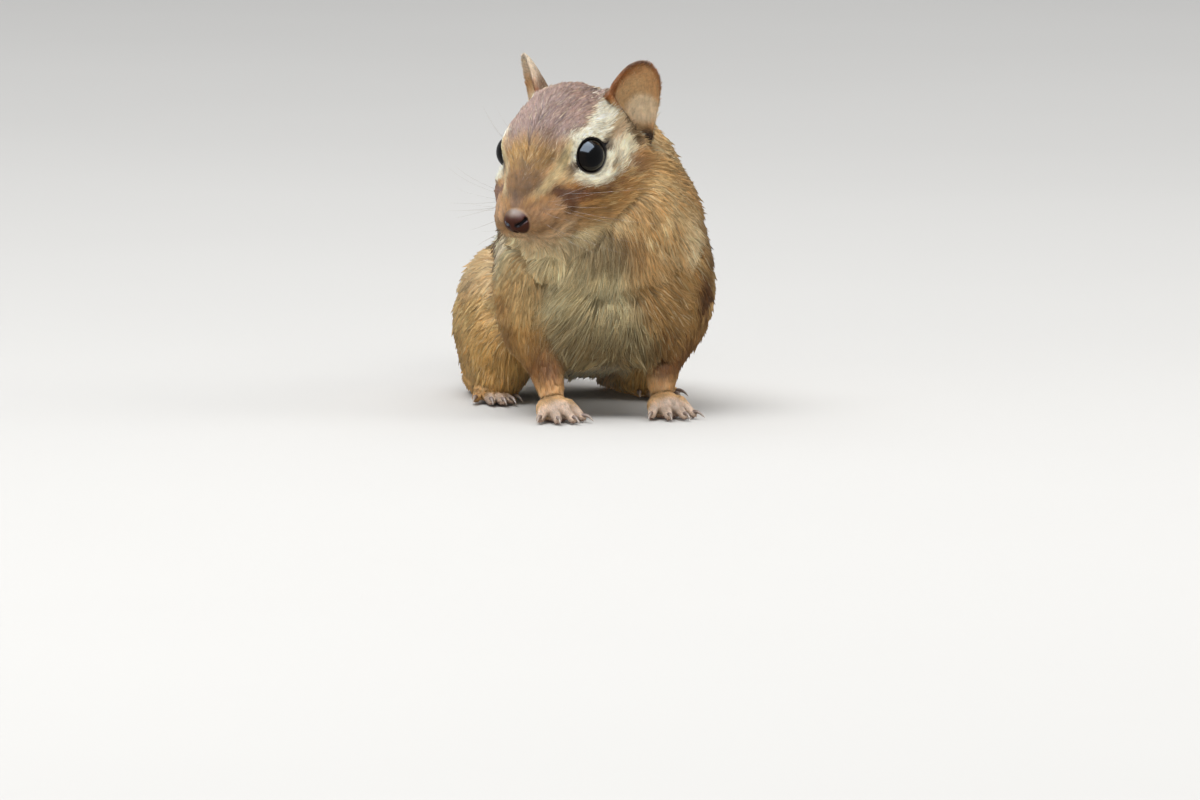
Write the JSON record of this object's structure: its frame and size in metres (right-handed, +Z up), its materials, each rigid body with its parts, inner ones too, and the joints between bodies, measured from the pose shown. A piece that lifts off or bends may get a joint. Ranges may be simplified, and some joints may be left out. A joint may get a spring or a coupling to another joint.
{
  "type": "chipmunk",
  "caption": "Life-size still model of an eastern chipmunk sitting on all fours, head turned aside, striped brown and cream coat, tail laid behind on the floor.",
  "frame": {"origin": "middle of the bounding box's footprint, at floor level under the soles", "axes": "+Z up, +X to the animal's left, -Y the way the trunk faces; the tail runs back towards +Y"},
  "size_m": [0.0856, 0.166, 0.0821],
  "materials": {
    "coat": "short dense fur, tan with dark brown and cream stripes",
    "eye": "wet gloss, near black",
    "paw": "thinly haired skin with bare pinkish grey toes",
    "claw": "smooth dark horn",
    "nose": "bare moist skin"
  },
  "bodies": {
    "root": {"head": "coat", "neck": "coat", "trunk": "coat", "tail_1": "coat", "tail_2": "coat", "tail_3": "coat", "ear_L": "coat", "ear_R": "coat", "eye_L": "eye", "eye_R": "eye", "foreleg_L": "coat", "foreleg_R": "coat", "forefoot_L": "paw", "forefoot_R": "paw", "hindleg_L": "coat", "hindleg_R": "coat", "hindfoot_L": "paw", "hindfoot_R": "paw"}
  },
  "joints": []
}
